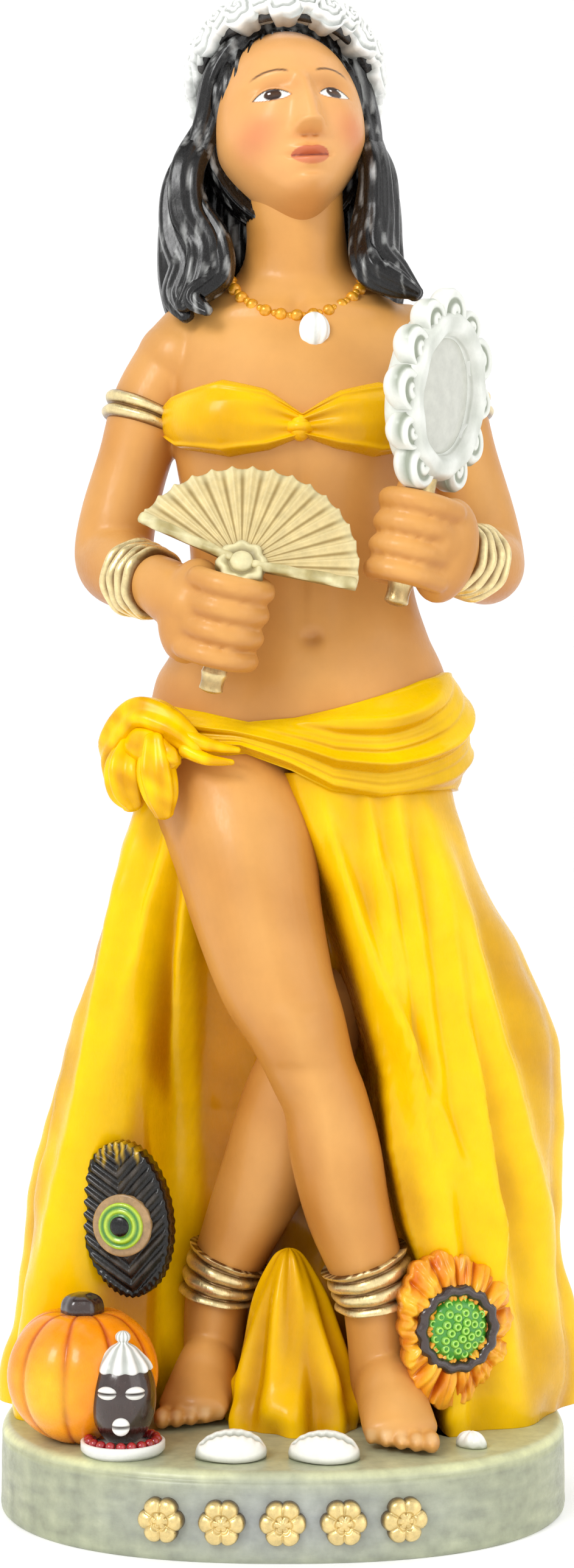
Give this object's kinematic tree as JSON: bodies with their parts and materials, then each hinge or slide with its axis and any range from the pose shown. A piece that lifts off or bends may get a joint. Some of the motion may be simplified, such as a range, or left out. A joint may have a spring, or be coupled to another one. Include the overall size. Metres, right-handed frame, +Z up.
{
  "type": "figurine",
  "caption": "Hand-painted cast resin figurine of a dancer in a yellow skirt with fan, hand mirror and flower crown, on an oval plinth.",
  "frame": {"origin": "centre of the plinth's flat underside", "axes": "+Z up through the figure; the figure faces -Y, so +X is on the viewer's right"},
  "size_m": [0.0582, 0.0481, 0.1528],
  "materials": {
    "plinth_paint": "satin",
    "gold_paint": "gloss",
    "pin_steel": "brushed",
    "yellow_cloth": "gloss",
    "skin_paint": "satin",
    "bead_gold": "gloss",
    "white_paint": "gloss",
    "black_hair": "gloss",
    "khaki_fan": "satin",
    "grey_glass": "gloss",
    "orange_pumpkin": "gloss",
    "dark_brown": "gloss",
    "red_paint": "gloss",
    "orange_petal": "gloss",
    "green_paint": "gloss",
    "black_feather": "gloss",
    "tan_eye": "gloss"
  },
  "bodies": {
    "root": {"plinth": "plinth_paint", "plinth_rosettes": "gold_paint", "foot_pins": "pin_steel", "hip_pin": "pin_steel", "neck_pin": "pin_steel", "skirt": "yellow_cloth", "skirt_apron": "yellow_cloth", "hip_sash": "yellow_cloth", "sash_knot": "yellow_cloth", "sash_tails": "yellow_cloth", "right_leg": "skin_paint", "left_leg": "skin_paint", "right_anklets": "gold_paint", "left_anklets": "gold_paint", "torso": "skin_paint", "bandeau": "yellow_cloth", "bandeau_knot": "yellow_cloth", "right_arm": "skin_paint", "left_arm": "skin_paint", "right_hand": "skin_paint", "left_hand": "skin_paint", "right_armlet": "gold_paint", "left_armlet": "gold_paint", "right_bracelets": "gold_paint", "left_bracelets": "gold_paint", "necklace_beads": "bead_gold", "pendant_shell": "white_paint", "head": "skin_paint", "hair": "black_hair", "right_hair_lock": "black_hair", "left_hair_lock": "black_hair", "crown_band": "black_hair", "crown_roses": "white_paint", "fan_leaf": "khaki_fan", "fan_guards": "khaki_fan", "fan_rivet": "khaki_fan", "fan_handle": "gold_paint", "mirror_frame": "white_paint", "mirror_scrolls": "white_paint", "mirror_glass": "grey_glass", "mirror_handle": "gold_paint", "pumpkin": "orange_pumpkin", "pumpkin_stem": "dark_brown", "idol_head": "dark_brown", "idol_cap": "white_paint", "idol_face_shells": "white_paint", "idol_beads": "red_paint", "idol_dish": "white_paint", "cowrie_shells": "white_paint", "small_shell": "white_paint", "sunflower_petals": "orange_petal", "sunflower_sepals": "dark_brown", "sunflower_seeds": "green_paint", "feather": "black_feather", "feather_eye": "tan_eye", "feather_iris": "green_paint", "feather_pupil": "black_feather"}
  },
  "joints": []
}
